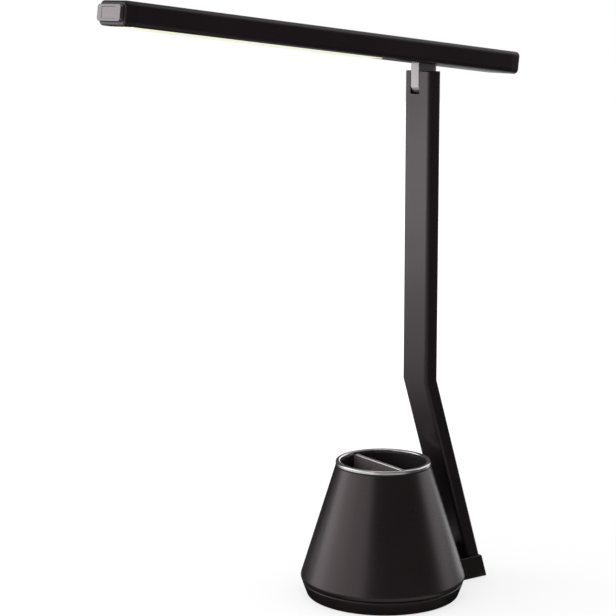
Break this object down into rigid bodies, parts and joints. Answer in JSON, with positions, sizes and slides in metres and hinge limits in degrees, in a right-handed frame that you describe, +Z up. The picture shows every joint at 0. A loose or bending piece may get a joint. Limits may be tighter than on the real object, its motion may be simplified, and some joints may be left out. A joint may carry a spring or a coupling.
{
  "type": "desk lamp with pen cup base",
  "caption": "Desk lamp: a long LED light bar tilts on a bent flat arm, over a cone base that is an open pen cup with a divider.",
  "frame": {"origin": "where the axis of the cone base meets the table", "axes": "+Z up; the light bar points to -Y from the arm, which stands behind the cup at +Y; +X is to the right seen from the front"},
  "size_m": [0.1206, 0.3309, 0.4317],
  "materials": {
    "black_shell": "fine satin black, moulded",
    "black_plastic": "black, moulded",
    "black_metal": "black satin coat on aluminium",
    "bright_trim": "satin silver",
    "neck_metal": "satin silver, cast",
    "steel": "zinc plated",
    "rubber": "black foam rubber",
    "board": "green lacquer",
    "white_board": "white lacquer",
    "chip": "yellow phosphor",
    "diffuser": "milky, satin"
  },
  "bodies": {
    "stand": {"base_shell": "black_shell", "bottom_tray": "black_plastic", "base_pad": "rubber", "ballast_disc": "steel", "base_screws": "steel", "cup_liner": "black_plastic", "rim_ring": "bright_trim", "divider_plate": "black_plastic", "divider_strip": "bright_trim", "driver_board": "board", "usb_inlet": "steel", "arm_foot": "black_shell", "heel_pad": "rubber", "foot_screws": "steel", "arm_tube": "black_metal", "arm_plug": "black_plastic", "arm_screws": "steel", "arm_lead": "rubber", "hinge_yoke": "black_plastic", "hinge_pin": "steel", "hinge_nut": "steel", "friction_washers": "steel"},
    "light_bar": {"hinge_tongue": "neck_metal", "tongue_screws": "steel", "bar_housing": "black_metal", "bar_cover": "black_plastic", "diffuser": "diffuser", "led_board": "white_board", "led_chips": "chip", "bar_lead": "rubber", "nose_bezel": "black_plastic", "bezel_screws": "steel", "end_plate": "bright_trim", "switch_board": "board", "tail_cap": "black_plastic"},
    "button": {"power_button": "bright_trim"}
  },
  "joints": [
    {"name": "bar_tilt", "type": "hinge", "parent": "stand", "child": "light_bar", "pos_m": [-0.0024, 0.0331, 0.371], "axis": [1, 0, 0], "range_deg": [-25, 94]},
    {"name": "button_press", "type": "slide", "parent": "light_bar", "child": "button", "axis": [0, 0.9931, -0.1172], "range_m": [0, 0.0008], "stiffness_N_per_m": 1500, "springref_m": -0.0006}
  ]
}
